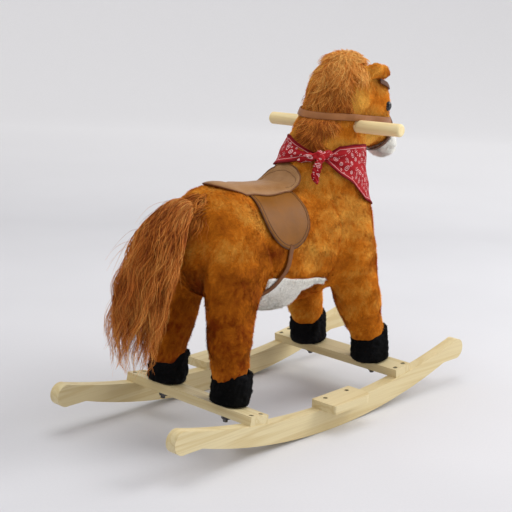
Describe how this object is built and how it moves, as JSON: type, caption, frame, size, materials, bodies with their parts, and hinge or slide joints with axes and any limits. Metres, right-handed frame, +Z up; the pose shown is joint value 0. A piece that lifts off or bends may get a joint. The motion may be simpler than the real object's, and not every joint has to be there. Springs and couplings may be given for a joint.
{
  "type": "rocking horse",
  "caption": "Plush rocking horse with a saddle, bandana and wooden hand grips, bolted to two bow runners with cross boards and footrests.",
  "frame": {"origin": "on the floor under the lowest point of the runners, midway along them and midway between them", "axes": "+X the way the horse faces, along the runners; +Y the horse's left; +Z up"},
  "size_m": [0.74, 0.348, 0.6097],
  "materials": {
    "pine": "satin",
    "dark_steel": "satin",
    "brown_plush": "matte",
    "white_plush": "matte",
    "black_plush": "matte",
    "long_hair": "matte",
    "tan_leather": "satin",
    "red_cotton": "matte",
    "eye_plastic": "gloss"
  },
  "bodies": {
    "horse": {"runner_left": "pine", "runner_right": "pine", "cross_board_front": "pine", "cross_board_rear": "pine", "footrest_left": "pine", "footrest_right": "pine", "board_screws": "dark_steel", "footrest_screws": "dark_steel", "leg_studs": "dark_steel", "leg_washers": "dark_steel", "leg_nuts": "dark_steel", "leg_post_front_left": "pine", "leg_post_front_right": "pine", "leg_post_rear_left": "pine", "leg_post_rear_right": "pine", "hip_block_front": "pine", "hip_block_rear": "pine", "spine_beam": "pine", "neck_board": "pine", "handle": "pine", "handle_pin": "dark_steel", "torso": "brown_plush", "belly_panel": "white_plush", "neck": "brown_plush", "head": "brown_plush", "muzzle": "white_plush", "ear_left": "brown_plush", "ear_right": "brown_plush", "eyes": "eye_plastic", "leg_front_left": "brown_plush", "leg_front_right": "brown_plush", "leg_rear_left": "brown_plush", "leg_rear_right": "brown_plush", "hoof_front_left": "black_plush", "hoof_front_right": "black_plush", "hoof_rear_left": "black_plush", "hoof_rear_right": "black_plush", "mane_upper": "long_hair", "mane_lower": "long_hair", "forelock": "long_hair", "saddle_seat": "tan_leather", "saddle_flap_left": "tan_leather", "saddle_flap_right": "tan_leather", "girth_strap": "tan_leather", "rein": "tan_leather", "noseband": "tan_leather", "browband": "tan_leather", "bandana": "red_cotton", "bandana_knot": "red_cotton"},
    "tail": {"tail": "long_hair"}
  },
  "joints": [
    {"name": "tail_swing", "type": "hinge", "parent": "horse", "child": "tail", "pos_m": [-0.2224, 0, 0.37754], "axis": [0, 1, 0], "range_deg": [0, 50]}
  ]
}
